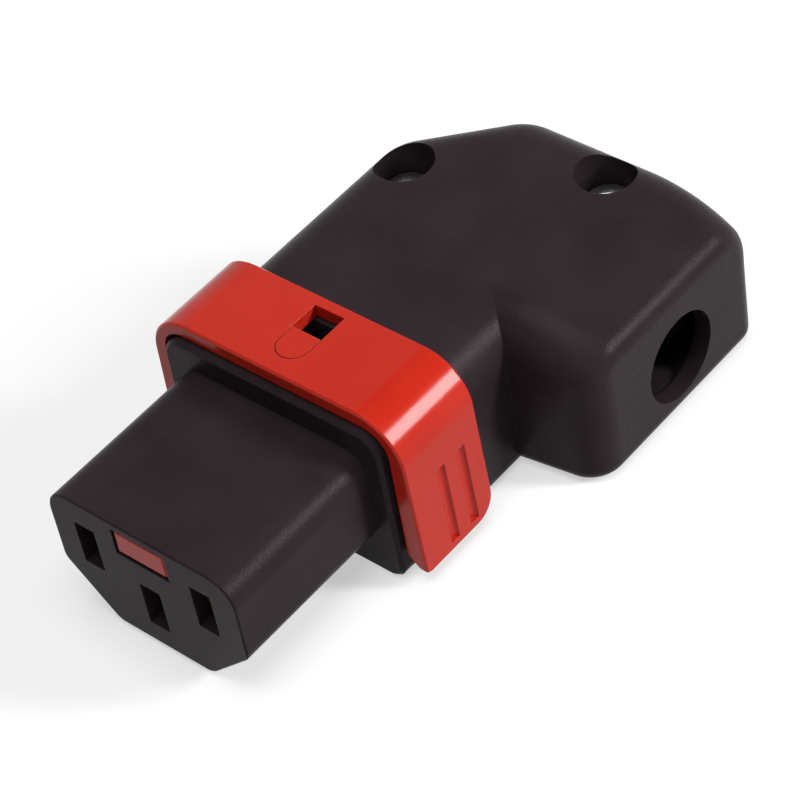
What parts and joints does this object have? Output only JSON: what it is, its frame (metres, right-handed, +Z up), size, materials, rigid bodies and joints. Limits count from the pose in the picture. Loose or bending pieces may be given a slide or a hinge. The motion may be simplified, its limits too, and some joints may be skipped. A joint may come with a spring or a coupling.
{
  "type": "right-angle power connector",
  "caption": "Black right-angle mains connector with a keyed slotted nose, a red sliding release collar, recessed shell screws and a round cord entry at the side.",
  "frame": {"origin": "on the mating face, midway between the line and neutral slots", "axes": "+X from the mating face to the rear, +Z up, the cord leaves towards -Y"},
  "size_m": [0.0613, 0.0374, 0.0197],
  "materials": {
    "black_plastic": "fine spark-eroded matte",
    "red_plastic": "satin moulded",
    "brass": "plain stamped",
    "steel": "zinc plated"
  },
  "bodies": {
    "housing": {"contact_carrier": "black_plastic", "upper_shell": "black_plastic", "lower_shell": "black_plastic", "cord_clamp_bar": "black_plastic", "line_contact": "brass", "line_terminal": "brass", "neutral_contact": "brass", "neutral_terminal": "brass", "earth_contact": "brass", "earth_terminal": "brass", "line_terminal_screw": "steel", "neutral_terminal_screw": "steel", "earth_terminal_screw": "steel", "lock_spring": "steel", "left_shell_screw": "steel", "rear_shell_screw": "steel", "front_clamp_screw": "steel", "rear_clamp_screw": "steel"},
    "release": {"release_collar": "red_plastic", "release_arm": "red_plastic"},
    "lock": {"lock_plate": "steel"}
  },
  "joints": [
    {"name": "release_slide", "type": "slide", "parent": "housing", "child": "release", "axis": [1, 0, 0], "range_m": [0, 0.0025], "stiffness_N_per_m": 1000, "deforming": ["lock_spring"]},
    {"name": "lock_tilt", "type": "hinge", "parent": "housing", "child": "lock", "pos_m": [0.0166, 0, -0.0064], "axis": [0, 1, 0], "range_deg": [0, 15]}
  ],
  "couplings": [
    {"joint": "lock_tilt", "follows": "release_slide", "rad_per_m": 104.7}
  ]
}
